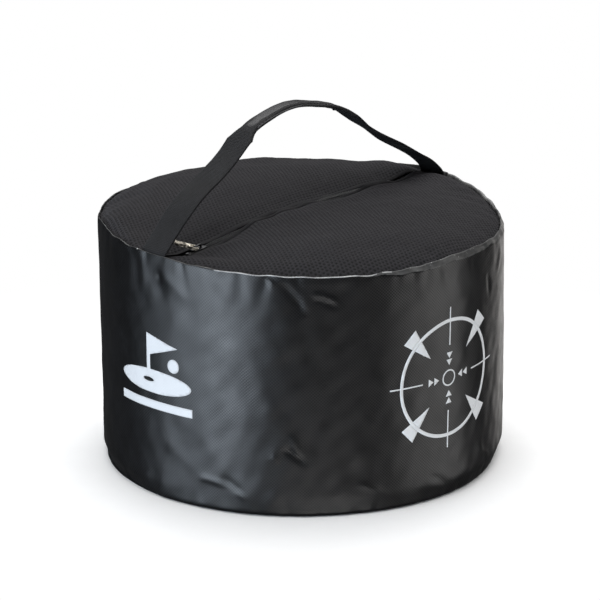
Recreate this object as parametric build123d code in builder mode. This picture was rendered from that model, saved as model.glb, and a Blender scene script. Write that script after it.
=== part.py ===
from build123d import *
import math
import os

# Golf impact bag: a stuffed drum of coated fabric with a mesh top, a zip across the top and one
# carrying handle. Millimetres, +Z up, origin at the centre of the base on the floor. The target
# print faces -Y; the zip and the handle run along X, with the zip slider parked at the -X end.

# ---- driving dimensions -------------------------------------------------------------------
drum_radius = 190.0
wall_height = 228.0
wall_thickness = 1.5
foot_radius = 11.0
panel_gap = 0.1

mesh_thickness = 2.0
mesh_edge_radius = 185.5
crown_height = 252.0
mesh_inner_edge = 8.0
# the valley along the zip: (distance from the zip, height above its arc)
valley_section = [(8, 2.9), (25, 8), (60, 13), (120, 20), (200, 25)]
# the crown's section: (radius, depth below the crown's top)
crown_section = [(0, 0), (100, 1.5), (140, 5), (168, 12)]
collar_radius = 145.0
collar_z = 216.0
form_floor_z = 150.0

seam_height = 2.0
seam_tape_width = 25.0
seam_tape_thickness = 1.2
binding_height = 7.0
binding_thickness = 2.4
thread_width = 0.6
thread_height = 0.8
webbing_width = 30.0
webbing_thickness = 1.8
webbing_root_x = 186.9
webbing_tail_bottom = 186.0

handle_axis_z = 243.0
handle_root_radius = 19.0
root_clearance = 0.3
neck_width = 16.0

grip_start_x = -64.0
grip_end_x = 42.0
grip_width = 19.0
grip_thickness = 5.4

zip_radius = 1200.0
zip_centre_x = 70.0
zip_top_z = 238.0
zip_centre_z = zip_top_z - zip_radius
zip_closed_x = -134.0
coil_start_x = -141.0
coil_end_x = 122.0
tape_arc_start_x = -150.0
tape_arc_end_x = 150.0
tape_end_x = 185.5
tape_end_left_z = 221.5
tape_end_right_z = 222.5
tape_thickness = 0.8
tape_inner_edge = 1.6
tape_outer_edge = 14.0

slider_length = 13.0
slider_width = 9.6
slider_tail_width = 8.0
slider_pivot_lift = 4.4
pull_length = 29.0
pull_rise_deg = 22.0
pull_thickness = 1.2

roll_radius = 61.0
roll_pitch = 123.5
roll_bottom = 10.0
roll_top = 196.0

target_height = 114.0
badge_height = 120.0
print_thickness = 0.15

os.makedirs("parts", exist_ok=True)


def save(piece, name):
    """Label a finished piece and write its STEP file."""
    piece.part.label = name
    export_step(piece.part, f"parts/{name}.step")


# ---- shared curves and forms --------------------------------------------------------------
def zip_angle(x):
    """Angle from the vertical, in degrees, of the zip's arc at a given x."""
    return math.degrees(math.asin((x - zip_centre_x) / zip_radius))


def zip_point(x, lift=0.0):
    """A point (x, z) on the zip's arc, lifted along the arc's radius."""
    angle = math.radians(zip_angle(x))
    reach = zip_radius + lift
    return (zip_centre_x + reach * math.sin(angle), zip_centre_z + reach * math.cos(angle))


def zip_plane(x, lift=0.0):
    """The plane that lies on the zip at x: its x runs along the zip, its z points outwards."""
    angle = math.radians(zip_angle(x))
    px, pz = zip_point(x, lift)
    along = (math.cos(angle), 0, -math.sin(angle))
    outward = (math.sin(angle), 0, math.cos(angle))
    return Plane(origin=(px, 0, pz), x_dir=along, z_dir=outward)


def zip_cross_plane(x):
    """The plane square to the zip at x: its x is world Y and its y points out along the radius."""
    angle = math.radians(zip_angle(x))
    along = (math.cos(angle), 0, -math.sin(angle))
    return Plane(origin=(zip_centre_x, 0, zip_centre_z), x_dir=(0, 1, 0), z_dir=along)


zip_axis = Axis((zip_centre_x, 0, zip_centre_z), (0, 1, 0))


def arc_strip(x_start, x_end, y_start, y_end, lift_low, lift_high):
    """A strip of rectangular section that follows the zip's arc from x_start to x_end."""
    with BuildPart() as strip:
        with BuildSketch(zip_cross_plane(x_start)):
            with Locations(((y_start + y_end) / 2, zip_radius + (lift_low + lift_high) / 2)):
                Rectangle(y_end - y_start, lift_high - lift_low)
        revolve(axis=zip_axis, revolution_arc=zip_angle(x_end) - zip_angle(x_start))
    return strip


def crown_form(drop, edge):
    """The solid space under the mesh top, lowered by drop and cut to the radius edge.

    A crowned cap is cut down along the zip by a valley that follows the zip's arc. A collar
    keeps the cloth from sinking below the top seam where the valley reaches the rim.
    """
    rim = (edge, wall_height - drop)
    foot = (edge, form_floor_z)
    reach = 200.0
    valley = [(y, zip_radius + lift - drop) for y, lift in valley_section]
    crown = [(r, crown_height - depth - drop) for r, depth in crown_section]
    with BuildPart() as form:
        with BuildSketch(zip_cross_plane(-reach)):
            with BuildLine():
                side = Spline(*valley)
                mirror(side, about=Plane.YZ)
                Line((-valley[0][0], valley[0][1]), valley[0])
                Polyline(
                    valley[-1],
                    (reach, zip_radius - 90),
                    (-reach, zip_radius - 90),
                    (-valley[-1][0], valley[-1][1]),
                )
            make_face()
        revolve(axis=zip_axis, revolution_arc=zip_angle(reach) - zip_angle(-reach))
        with BuildSketch(Plane.XZ):
            Polygon(
                (0, form_floor_z),
                foot,
                rim,
                (collar_radius, collar_z - drop),
                (0, collar_z - drop),
                align=None,
            )
        revolve(axis=Axis.Z)
        with BuildSketch(Plane.XZ):
            with BuildLine():
                Spline(*crown, rim)
                Polyline(rim, foot, (0, form_floor_z), crown[0])
            make_face()
        revolve(axis=Axis.Z, mode=Mode.INTERSECT)
    return form


# side view of the strap's centreline (x, z), from one tail over the arch to the other
strap_route = [
    (-webbing_root_x, webbing_tail_bottom),
    (-webbing_root_x, 231.5),
    (-148, 271),
    (-104, 295),
    (-66, 323.5),
    (-15, 339.5),
    (47, 326),
    (96, 292),
    (168, 256),
    (webbing_root_x, 240),
    (webbing_root_x, webbing_tail_bottom),
]
bend_share = 0.45
left_root_bend = 6.0
right_root_bend = 20.0


def bend_radii(route):
    """The largest arc that each corner's two runs allow, with a set bend at each root."""
    radii = []
    for before, corner, after in zip(route, route[1:], route[2:]):
        run_in = (corner[0] - before[0], corner[1] - before[1])
        run_out = (after[0] - corner[0], after[1] - corner[1])
        turn = abs(math.atan2(run_out[1], run_out[0]) - math.atan2(run_in[1], run_in[0]))
        shorter = min(math.hypot(*run_in), math.hypot(*run_out))
        radii.append(bend_share * shorter / math.tan(turn / 2))
    radii[0] = left_root_bend
    radii[-1] = right_root_bend
    return radii


def strap_bar(thickness, width):
    """The whole handle strap, tails included, as a bar of one thickness and width."""
    with BuildPart() as bar:
        with BuildSketch(Plane.XZ.offset(-width / 2)):
            with BuildLine():
                FilletPolyline(*strap_route, radius=bend_radii(strap_route))
                offset(amount=thickness / 2)
            make_face()
        extrude(amount=width)
    return bar


# ---- drum shell ---------------------------------------------------------------------------
inner_radius = drum_radius - wall_thickness
foot_centre = drum_radius - foot_radius

with BuildPart() as side_panel:
    with BuildSketch(Plane.XZ):
        with BuildLine():
            Line((drum_radius, wall_height), (drum_radius, foot_radius))
            RadiusArc((drum_radius, foot_radius), (foot_centre, 0), foot_radius)
            Line((foot_centre, 0), (foot_centre, wall_thickness))
            RadiusArc((foot_centre, wall_thickness), (inner_radius, foot_radius), wall_thickness - foot_radius)
            Line((inner_radius, foot_radius), (inner_radius, wall_height))
            Line((inner_radius, wall_height), (drum_radius, wall_height))
        make_face()
    revolve(axis=Axis.Z)
save(side_panel, "side_panel")

seam_tape_bottom = foot_radius + 3
seam_tape_top = wall_height - 4
with BuildPart() as side_seam_tape:
    with BuildSketch(Plane.XY.offset(seam_tape_bottom)):
        Circle(inner_radius - panel_gap)
        Circle(inner_radius - panel_gap - seam_tape_thickness, mode=Mode.SUBTRACT)
        with Locations((0, inner_radius)):
            Rectangle(seam_tape_width, 30, mode=Mode.INTERSECT)
    extrude(amount=seam_tape_top - seam_tape_bottom)
save(side_seam_tape, "side_seam_tape")

with BuildPart() as bottom_panel:
    Cylinder(foot_centre - panel_gap, wall_thickness, align=(Align.CENTER, Align.CENTER, Align.MIN))
save(bottom_panel, "bottom_panel")

# the bottom seam's allowance stands up inside, wrapped in binding tape
binding_radius = foot_centre - wall_thickness
binding_inner_radius = binding_radius - binding_thickness
with BuildPart() as bottom_seam_binding:
    with BuildSketch(Plane.XY.offset(wall_thickness + panel_gap)):
        Circle(binding_radius)
        Circle(binding_inner_radius, mode=Mode.SUBTRACT)
    extrude(amount=binding_height)
    fillet(bottom_seam_binding.edges().group_by(Axis.Z)[-1], 1.0)
save(bottom_seam_binding, "bottom_seam_binding")

with BuildPart() as bottom_seam_stitching:
    with BuildSketch(Plane.XY.offset(binding_height / 2)):
        Circle(binding_inner_radius - panel_gap)
        Circle(binding_inner_radius - panel_gap - thread_width, mode=Mode.SUBTRACT)
    extrude(amount=thread_height)
save(bottom_seam_stitching, "bottom_seam_stitching")

# ---- top seam -----------------------------------------------------------------------------
strap_slot_depth = 2.4
strap_slot_x = webbing_root_x
seam_inner_radius = mesh_edge_radius + panel_gap
with BuildPart() as top_seam_binding:
    with BuildSketch(Plane.XZ):
        with BuildLine():
            Line((seam_inner_radius, wall_height + seam_height), (seam_inner_radius, wall_height + panel_gap))
            Line((seam_inner_radius, wall_height + panel_gap), (drum_radius, wall_height + panel_gap))
            ThreePointArc(
                (drum_radius, wall_height + panel_gap),
                (drum_radius - 0.9, wall_height + seam_height - 0.2),
                (seam_inner_radius, wall_height + seam_height),
            )
        make_face()
    revolve(axis=Axis.Z)
    with BuildSketch(Plane.XY.offset(wall_height)):
        with Locations((-strap_slot_x, 0), (strap_slot_x, 0)):
            Rectangle(strap_slot_depth, webbing_width + 0.6)
    extrude(amount=2 * seam_height, mode=Mode.SUBTRACT)
save(top_seam_binding, "top_seam_binding")

with BuildPart() as top_seam_stitching:
    with BuildSketch(Plane.XY.offset(wall_height - binding_height)):
        Circle(inner_radius - panel_gap)
        Circle(inner_radius - panel_gap - thread_width, mode=Mode.SUBTRACT)
        with Locations((-strap_slot_x, 0), (strap_slot_x, 0)):
            Rectangle(6, webbing_width + 2, mode=Mode.SUBTRACT)
        with Locations((0, inner_radius)):
            Rectangle(seam_tape_width + 2, 6, mode=Mode.SUBTRACT)
    extrude(amount=thread_height)
save(top_seam_stitching, "top_seam_stitching")

# ---- mesh top -----------------------------------------------------------------------------
crown_outside = crown_form(0.0, mesh_edge_radius)
crown_inside = crown_form(mesh_thickness, mesh_edge_radius + 1)


def mesh_half(side):
    """One half of the mesh top, from the zip's edge to the rim; side is -1 in front, +1 behind."""
    with BuildPart() as half:
        add(crown_outside.part)
        add(crown_inside.part, mode=Mode.SUBTRACT)
        with Locations((0, side * (mesh_inner_edge + 100), wall_height)):
            Box(400, 200, 100, mode=Mode.INTERSECT)
    return half


top_mesh_front = mesh_half(-1)
top_mesh_back = mesh_half(1)
save(top_mesh_front, "top_mesh_front")
save(top_mesh_back, "top_mesh_back")


# ---- zip ----------------------------------------------------------------------------------
def zip_tape(side):
    """One woven tape: it follows the zip's arc and turns into the top seam at both ends."""
    with BuildPart() as tape:
        with BuildSketch(Plane.XZ.offset(-side * tape_inner_edge)):
            with BuildLine():
                arc = ThreePointArc(
                    zip_point(tape_arc_start_x),
                    zip_point(0),
                    zip_point(tape_arc_end_x),
                )
                TangentArc(arc @ 0, (-tape_end_x, tape_end_left_z), tangent=(arc % 0) * -1)
                TangentArc(arc @ 1, (tape_end_x, tape_end_right_z), tangent=arc % 1)
                offset(amount=tape_thickness / 2)
            make_face()
        extrude(amount=-side * (tape_outer_edge - tape_inner_edge))
    return tape


zip_tape_front = zip_tape(-1)
zip_tape_back = zip_tape(1)
save(zip_tape_front, "zip_tape_front")
save(zip_tape_back, "zip_tape_back")

tape_top = tape_thickness / 2
coil_low = tape_top + 0.05
coil_high = tape_top + 1.35
coil_inner_edge = 0.8
coil_outer_edge = 3.0
zip_coil_front = arc_strip(
    coil_start_x, coil_end_x, -coil_outer_edge, -coil_inner_edge, coil_low, coil_high
)
zip_coil_back = arc_strip(
    coil_start_x, coil_end_x, coil_inner_edge, coil_outer_edge, coil_low, coil_high
)
save(zip_coil_front, "zip_coil_front")
save(zip_coil_back, "zip_coil_back")

# two clips stop the slider where the zip is closed, one box joins the coils at the other end
stop_length = 3.0
with BuildPart() as zip_top_stops:
    with BuildSketch(zip_plane(coil_start_x - 2.2, coil_low)):
        with Locations((0, -1.9), (0, 1.9)):
            Rectangle(stop_length, 2.6)
    extrude(amount=1.9)
save(zip_top_stops, "zip_top_stops")

with BuildPart() as zip_bottom_stop:
    with BuildSketch(zip_plane(coil_end_x + 2.2, coil_low)):
        RectangleRounded(stop_length, 7.0, 0.6)
    extrude(amount=2.0)
save(zip_bottom_stop, "zip_bottom_stop")

# slider: two plates joined by a thin post between the coils, with flanges down each side
plate_thickness = 1.2
plate_low = coil_high + 0.35
plate_high = plate_low + plate_thickness
under_high = -tape_thickness / 2 - 0.35
under_low = under_high - 1.1
slider_centre_x = zip_closed_x + 2.5
slider_nose = slider_length / 2
flange_inner = 3.4


def slider_outline():
    """The shield-shaped outline shared by the slider's two plates, wide at its +X end."""
    with BuildLine() as outline:
        Polyline(
            (-slider_nose, -slider_tail_width / 2),
            (-1, -slider_tail_width / 2),
            (2.5, -slider_width / 2),
            (slider_nose, -slider_width / 2),
            (slider_nose, slider_width / 2),
            (2.5, slider_width / 2),
            (-1, slider_tail_width / 2),
            (-slider_nose, slider_tail_width / 2),
            close=True,
        )
    return outline


with BuildPart() as zip_slider_body:
    with BuildSketch(zip_plane(slider_centre_x, plate_low)):
        add(slider_outline().line)
        make_face()
    extrude(amount=plate_thickness)
    with BuildSketch(zip_plane(slider_centre_x, tape_top + 0.2)):
        add(slider_outline().line)
        make_face()
        Rectangle(2 * slider_length, 2 * flange_inner, mode=Mode.SUBTRACT)
    extrude(amount=plate_low - tape_top - 0.2)
    with BuildSketch(zip_plane(slider_centre_x, under_low)):
        add(slider_outline().line)
        make_face()
    extrude(amount=under_high - under_low)
    with BuildSketch(zip_plane(slider_centre_x, under_low)):
        with Locations((3.6, 0)):
            RectangleRounded(4.6, 1.0, 0.45)
    extrude(amount=plate_low - under_low + 0.2)
save(zip_slider_body, "zip_slider_body")

# bail: the small arch on the slider that carries the pull tab; its length runs from the tab's pin
bail_width = 2.0
bail_leg = 1.05
pin_radius = 0.6
arch_low = slider_pivot_lift + pin_radius + 0.4
arch_high = arch_low + 1.1
bail_back = zip_closed_x - slider_centre_x - pin_radius - 0.35 - bail_leg
bail_front = bail_back + 8.2
bail_plane = zip_plane(slider_centre_x)
with BuildPart() as zip_slider_bail:
    with BuildSketch(Plane(origin=bail_plane.origin, x_dir=bail_plane.x_dir, z_dir=(0, -1, 0))):
        with BuildLine():
            FilletPolyline(
                (bail_back, plate_high),
                (bail_back, arch_high),
                (bail_front, arch_high),
                (bail_front, plate_high),
                radius=1.0,
            )
            Polyline(
                (bail_back, plate_high),
                (bail_back + bail_leg, plate_high),
                (bail_back + bail_leg, arch_low),
                (bail_front - bail_leg, arch_low),
                (bail_front - bail_leg, plate_high),
                (bail_front, plate_high),
            )
        make_face()
    extrude(amount=bail_width / 2, both=True)
save(zip_slider_bail, "zip_slider_bail")

# pull tab: a pressed plate whose long eye hangs on the bail by a round pin
pull_rise = math.radians(pull_rise_deg)
pivot_x, pivot_z = zip_point(zip_closed_x, slider_pivot_lift)
pull_plane = Plane(
    origin=(pivot_x, 0, pivot_z),
    x_dir=(-math.cos(pull_rise), 0, math.sin(pull_rise)),
    z_dir=(math.sin(pull_rise), 0, math.cos(pull_rise)),
)
eye_length = 9.0
eye_width = 6.0
slot_end = 7.6
slot_width = 3.4
tip_radius = 3.4
tip_hole_radius = 1.3
tip_centre = pull_length - tip_radius
with BuildPart() as zip_pull_tab:
    with BuildSketch(pull_plane.offset(-pull_thickness / 2)):
        with Locations((eye_length / 2, 0)):
            Rectangle(eye_length, eye_width)
        with Locations(((eye_length + tip_centre) / 2, 0)):
            Rectangle(tip_centre - eye_length + 1, slot_width)
        with Locations((tip_centre, 0)):
            Circle(tip_radius)
            Circle(tip_hole_radius, mode=Mode.SUBTRACT)
        with Locations((slot_end / 2 - 1, 0)):
            RectangleRounded(slot_end + 2, slot_width, 0.8, mode=Mode.SUBTRACT)
    extrude(amount=pull_thickness)
    with BuildSketch(Plane.XZ.offset(-eye_width / 2)):
        with Locations((pivot_x, pivot_z)):
            Circle(pin_radius)
    extrude(amount=eye_width)
save(zip_pull_tab, "zip_pull_tab")

# ---- handle -------------------------------------------------------------------------------
# The strap's roots stay with the drum. The arch starts just outside a cylinder about the fold
# axis, so it can turn to either side without meeting the roots.
def root_form(radius, top_z):
    """The space about the fold axis that belongs to the roots, filled below top_z."""
    with BuildPart() as zone:
        with BuildSketch(Plane.YZ):
            with Locations((0, handle_axis_z)):
                Circle(radius)
            with Locations((0, top_z / 2)):
                Rectangle(80, top_z)
        extrude(amount=drum_radius, both=True)
    return zone


root_zone = root_form(handle_root_radius, handle_axis_z)
arch_zone = root_form(handle_root_radius + root_clearance, handle_axis_z + 5)


def handle_anchor(side):
    """The fixed end of the strap: its tail inside the drum and the stub above the rim."""
    with BuildPart() as anchor:
        add(strap_bar(webbing_thickness, webbing_width).part)
        add(root_zone.part, mode=Mode.INTERSECT)
        with Locations((side * drum_radius, 0, handle_axis_z)):
            Box(2 * 100, 2 * drum_radius, 2 * handle_axis_z, mode=Mode.INTERSECT)
    return anchor


handle_anchor_left = handle_anchor(-1)
handle_anchor_right = handle_anchor(1)
save(handle_anchor_left, "handle_anchor_left")
save(handle_anchor_right, "handle_anchor_right")

# seen from above, the webbing is folded in half along the grip
neck_half = neck_width / 2
with BuildPart() as handle_webbing:
    with BuildSketch():
        Polygon(
            (-drum_radius, -webbing_width / 2),
            (grip_start_x - 26, -webbing_width / 2),
            (grip_start_x - 4, -neck_half),
            (grip_end_x + 4, -neck_half),
            (grip_end_x + 26, -webbing_width / 2),
            (drum_radius, -webbing_width / 2),
            (drum_radius, webbing_width / 2),
            (grip_end_x + 26, webbing_width / 2),
            (grip_end_x + 4, neck_half),
            (grip_start_x - 4, neck_half),
            (grip_start_x - 26, webbing_width / 2),
            (-drum_radius, webbing_width / 2),
            align=None,
        )
    extrude(amount=400)
    add(strap_bar(webbing_thickness, webbing_width).part, mode=Mode.INTERSECT)
    add(arch_zone.part, mode=Mode.SUBTRACT)
save(handle_webbing, "handle_webbing")

grip_span = grip_end_x - grip_start_x
grip_middle_x = (grip_start_x + grip_end_x) / 2
cavity_width = neck_width + 0.4
cavity_thickness = webbing_thickness + 0.4
with BuildPart() as handle_grip:
    add(strap_bar(grip_thickness, grip_width).part)
    with Locations((grip_middle_x, 0, 300)):
        Box(grip_span, 100, 200, mode=Mode.INTERSECT)
    long_edges = handle_grip.edges().filter_by(lambda e: abs((e @ 1).X - (e @ 0).X) > 0.5)
    fillet(long_edges, 2.2)
    add(strap_bar(cavity_thickness, cavity_width).part, mode=Mode.SUBTRACT)
save(handle_grip, "handle_grip")

# topstitching down the grip's front edge, showing above and below
stitch_length = 3.2
stitch_pitch = 4.6
stitch_y = -(grip_width / 2 - 3.4)
stitch_count = 22
with BuildPart() as stitch_dashes:
    with BuildSketch(Plane.XY.offset(300)):
        with Locations((grip_middle_x, stitch_y)):
            with GridLocations(stitch_pitch, 1, stitch_count, 1):
                SlotOverall(stitch_length, 0.8)
    extrude(amount=60)
with BuildPart() as grip_stitching:
    add(strap_bar(grip_thickness + 0.5, grip_width).part)
    add(strap_bar(grip_thickness + 0.02, grip_width + 1).part, mode=Mode.SUBTRACT)
    add(stitch_dashes.part, mode=Mode.INTERSECT)
save(grip_stitching, "grip_stitching")

# box-and-cross stitching through each strap tail, on its inner face
tack_width = 22.0
tack_height = 26.0
tack_low = webbing_tail_bottom + 4
tack_thread = 0.9
tack_face_x = webbing_root_x - webbing_thickness / 2
with BuildPart() as handle_bar_tacks:
    with BuildSketch(Plane.YZ.offset(tack_face_x - 0.45)):
        with Locations((0, tack_low + tack_height / 2)):
            Rectangle(tack_width, tack_height)
            Rectangle(tack_width - 2 * tack_thread, tack_height - 2 * tack_thread, mode=Mode.SUBTRACT)
            diagonal = math.degrees(math.atan2(tack_height, tack_width))
            cross_length = math.hypot(tack_width, tack_height) - 2 * tack_thread
            Rectangle(cross_length, tack_thread, rotation=diagonal)
            Rectangle(cross_length, tack_thread, rotation=-diagonal)
    extrude(amount=0.4)
    mirror(about=Plane.YZ)
save(handle_bar_tacks, "handle_bar_tacks")

# ---- prints on the wall -------------------------------------------------------------------
print_gap = 0.02
with BuildPart() as print_skin:
    Cylinder(
        drum_radius + print_gap + print_thickness,
        wall_height,
        align=(Align.CENTER, Align.CENTER, Align.MIN),
    )
    Cylinder(
        drum_radius + print_gap,
        wall_height,
        align=(Align.CENTER, Align.CENTER, Align.MIN),
        mode=Mode.SUBTRACT,
    )

ring_radius = 57.0
ring_line = 4.2
hair_line = 1.5
hair_length = 36.5
hair_centre = 49.75
bull_radius = 8.0
wedge_base = 17.6
wedge_centre = 50.5
arrow_base = 7.0
arrow_centres = (23.5, 16.5)
with BuildPart() as target_print:
    with BuildSketch(Plane.XZ.offset(drum_radius - 60)):
        with Locations((0, target_height)):
            Circle(ring_radius)
            Circle(ring_radius - ring_line, mode=Mode.SUBTRACT)
            Circle(bull_radius)
            Circle(bull_radius - hair_line, mode=Mode.SUBTRACT)
            with PolarLocations(hair_centre, 4):
                Rectangle(hair_length, hair_line)
            with PolarLocations(wedge_centre, 4, start_angle=45):
                Triangle(a=wedge_base, B=75.7, C=75.7, rotation=90)
            for reach in arrow_centres:
                with PolarLocations(reach, 4):
                    Triangle(a=arrow_base, B=55, C=55, rotation=90)
    extrude(amount=100)
    add(print_skin.part, mode=Mode.INTERSECT)
save(target_print, "target_print")

# generic badge: a flag on a green, a ball, and a plain underline
with BuildPart() as badge_print:
    with BuildSketch(Plane.YZ.offset(-drum_radius - 10)):
        with Locations((0, badge_height - 9)):
            Ellipse(45, 11)
        with Locations((6, badge_height - 8)):
            Ellipse(7, 2, mode=Mode.SUBTRACT)
        with Locations((-25, badge_height + 10)):
            Circle(6.5)
        Polygon(
            (8, badge_height - 8),
            (8, badge_height + 36),
            (-30, badge_height + 27),
            (3.5, badge_height + 16),
            (3.5, badge_height - 8),
            align=None,
        )
        with Locations((0, badge_height - 31)):
            SlotOverall(92, 8)
    extrude(amount=60)
    add(print_skin.part, mode=Mode.INTERSECT)
save(badge_print, "badge_print")

# ---- filling ------------------------------------------------------------------------------
roll_height = roll_top - roll_bottom
roll_edge = 12.0
roll_places = [(0.0, 0.0)]
for turn in range(6):
    bearing = math.radians(60 * turn + 30)
    roll_places.append((roll_pitch * math.cos(bearing), roll_pitch * math.sin(bearing)))
for number, place in enumerate(roll_places):
    with BuildPart() as towel_roll:
        with BuildSketch(Plane.XY.offset(roll_bottom)):
            with Locations(place):
                Circle(roll_radius)
        extrude(amount=roll_height)
        fillet(towel_roll.edges(), roll_edge)
    save(towel_roll, f"towel_roll_{number}")

# folded cloth on top of the rolls fills the crown and leaves a channel under the zip
pad_drop = mesh_thickness + 1.5
pad_bottom = roll_top + 1
crown_filling = crown_form(pad_drop, mesh_edge_radius - pad_drop)
channel_half = 17.0
channel_floor = 213.0
with BuildPart() as filling_top_pad:
    add(crown_filling.part)
    with Locations((0, 0, pad_bottom)):
        Box(400, 400, 100, align=(Align.CENTER, Align.CENTER, Align.MIN), mode=Mode.INTERSECT)
    with Locations((0, 0, channel_floor)):
        Box(
            400,
            2 * channel_half,
            60,
            align=(Align.CENTER, Align.CENTER, Align.MIN),
            mode=Mode.SUBTRACT,
        )
save(filling_top_pad, "filling_top_pad")
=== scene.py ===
import math

import bpy
import numpy as np
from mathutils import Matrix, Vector, geometry


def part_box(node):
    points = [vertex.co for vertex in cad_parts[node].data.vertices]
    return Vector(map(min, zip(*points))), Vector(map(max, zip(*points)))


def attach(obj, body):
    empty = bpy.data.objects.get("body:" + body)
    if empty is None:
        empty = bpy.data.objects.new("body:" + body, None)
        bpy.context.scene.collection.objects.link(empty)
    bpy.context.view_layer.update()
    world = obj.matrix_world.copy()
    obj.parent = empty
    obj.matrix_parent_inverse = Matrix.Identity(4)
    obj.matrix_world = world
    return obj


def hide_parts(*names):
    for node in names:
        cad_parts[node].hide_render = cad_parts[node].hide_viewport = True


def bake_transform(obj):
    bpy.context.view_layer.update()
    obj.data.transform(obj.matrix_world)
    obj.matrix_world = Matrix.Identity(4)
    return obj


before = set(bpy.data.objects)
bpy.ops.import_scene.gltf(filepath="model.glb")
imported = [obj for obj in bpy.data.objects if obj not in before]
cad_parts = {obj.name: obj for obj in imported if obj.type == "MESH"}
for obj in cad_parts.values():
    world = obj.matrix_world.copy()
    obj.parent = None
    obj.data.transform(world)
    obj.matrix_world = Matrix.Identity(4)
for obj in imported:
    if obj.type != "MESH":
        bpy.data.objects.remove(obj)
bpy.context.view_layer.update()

MM = 0.001
SEED = 7


# ---- small tools --------------------
def smooth(edge0, edge1, value):
    """0 below edge0, 1 above edge1, and a smooth step between."""
    t = np.clip((np.asarray(value, float) - edge0) / (edge1 - edge0), 0, 1)
    return t * t * (3 - 2 * t)


def between(start, full, fading, end, value):
    """1 from full to fading, falling smoothly to 0 at start and end."""
    return smooth(start, full, value) * (1 - smooth(fading, end, value))


def soft_min(a, b, k):
    """The lower of a and b, rounded over k where they meet."""
    h = np.clip(0.5 + 0.5 * (b - a) / k, 0, 1)
    return b * (1 - h) + a * h - k * h * (1 - h)


def bell(value, width):
    """1 at zero, fading over the width to either side."""
    return np.exp(-((value / width) ** 2))


def look_up(table, x):
    """A value read from a table of (x, value) pairs."""
    return np.interp(x, *zip(*table))


def waves(u, v, count, shortest, longest, seed):
    """Seeded random ripples of unit size over the plane (u, v), wavelengths in mm."""
    rng = np.random.default_rng(SEED + seed)
    total = np.zeros(np.broadcast(u, v).shape)
    for _ in range(count):
        length = math.exp(rng.uniform(math.log(shortest), math.log(longest)))
        bearing = rng.uniform(0, math.tau)
        phase = rng.uniform(0, math.tau)
        k = math.tau / length
        total += np.sin(k * (u * math.cos(bearing) + v * math.sin(bearing)) + phase)
    return total / math.sqrt(count / 2)


def around(az, count, highest, seed):
    """Seeded random ripples round the drum, az in degrees, repeating every turn."""
    rng = np.random.default_rng(SEED + seed)
    total = np.zeros(np.shape(az))
    for _ in range(count):
        turns = rng.integers(2, highest + 1)
        total += np.sin(np.radians(az) * turns + rng.uniform(0, math.tau))
    return total / math.sqrt(count / 2)


def xyz(x, y, z):
    return np.stack(np.broadcast_arrays(x, y, z), -1)


def polar(r, az, z):
    """Points at a radius and a bearing in degrees, 0 at the front and 90 at +X."""
    w = np.radians(az)
    return xyz(r * np.sin(w), -r * np.cos(w), z)


def bearing_of(x, y):
    return np.degrees(np.arctan2(x, -np.asarray(y, float)))


def lengths(curve):
    """Running length along a curve of points."""
    steps = np.linalg.norm(np.diff(curve, axis=0), axis=1)
    return np.concatenate([[0], np.cumsum(steps)])


def cells(rows, cols, wrap_rows, wrap_cols):
    r = np.arange(rows if wrap_rows else rows - 1)
    c = np.arange(cols if wrap_cols else cols - 1)
    return np.meshgrid(r, c, indexing="ij")


def grid_faces(rows, cols, wrap_rows=False, wrap_cols=False):
    rr, cc = cells(rows, cols, wrap_rows, wrap_cols)
    r2, c2 = (rr + 1) % rows, (cc + 1) % cols
    return np.stack([rr * cols + cc, rr * cols + c2, r2 * cols + c2, r2 * cols + cc], -1).reshape(-1, 4)


def grid_uv(u, v, wrap_rows, wrap_cols, capped=0):
    """Corner coordinates for grid_faces, in mm: u along the columns, v along the rows."""
    rr, cc = cells(len(v) - wrap_rows, len(u) - wrap_cols, wrap_rows, wrap_cols)
    corners = [(rr, cc), (rr, cc + 1), (rr + 1, cc + 1), (rr + 1, cc)]
    uv = np.stack([np.stack([u[b], v[a]], -1) for a, b in corners], -2).reshape(-1, 2)
    return np.concatenate([uv, np.zeros((2 * capped, 2))])


def tube_faces(rows, cols):
    """Faces of a closed tube whose length runs along the columns, with its two ends."""
    first = [i * cols for i in range(rows)]
    return grid_faces(rows, cols, True).tolist() + [first, [i + cols - 1 for i in first][::-1]]


def tube(loops, u, v):
    """A closed tube of loops, its faces and their corner coordinates."""
    return loops, tube_faces(len(loops), len(u)), grid_uv(u, v, True, False, capped=len(loops))


def both_faces(values):
    """The values along a sheet's upper face, marked 1, then back along the lower, marked -1."""
    return [(1, v) for v in values] + [(-1, v) for v in values[::-1]]


def stack_faces(rows, cols):
    """Faces of a stack of closed rings, one to a row, with its two ends."""
    last = (rows - 1) * cols
    ends = [list(range(cols))[::-1], list(range(last, last + cols))]
    return grid_faces(rows, cols, False, True).tolist() + ends


def piece(name, points, faces, slot, finishes, body="shell", uv=None, face_slots=None):
    """A mesh object from points in mm, in the named materials, riding on a body."""
    mesh = bpy.data.meshes.new(name)
    points = np.asarray(points, float).reshape(-1, 3) * MM
    mesh.from_pydata(points.tolist(), [], [list(f) for f in faces])
    for key in finishes:
        mesh.materials.append(M[key])
    if face_slots is not None:
        mesh.polygons.foreach_set("material_index", np.asarray(face_slots, np.int32))
    if uv is not None:
        layer = mesh.uv_layers.new(name="UVMap")
        layer.data.foreach_set("uv", (np.asarray(uv, float) * MM).ravel())
    mesh.polygons.foreach_set("use_smooth", np.ones(len(mesh.polygons), bool))
    mesh.update()
    obj = placed(bpy.data.objects.new(name, mesh))
    if body:
        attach(obj, body)
    return obj


def placed(obj):
    bpy.context.scene.collection.objects.link(obj)
    return obj


def thicken(obj, thickness):
    """Depth given inwards, in mm."""
    depth = obj.modifiers.new("depth", "SOLIDIFY")
    depth.thickness = thickness * MM
    depth.offset = -1


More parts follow.
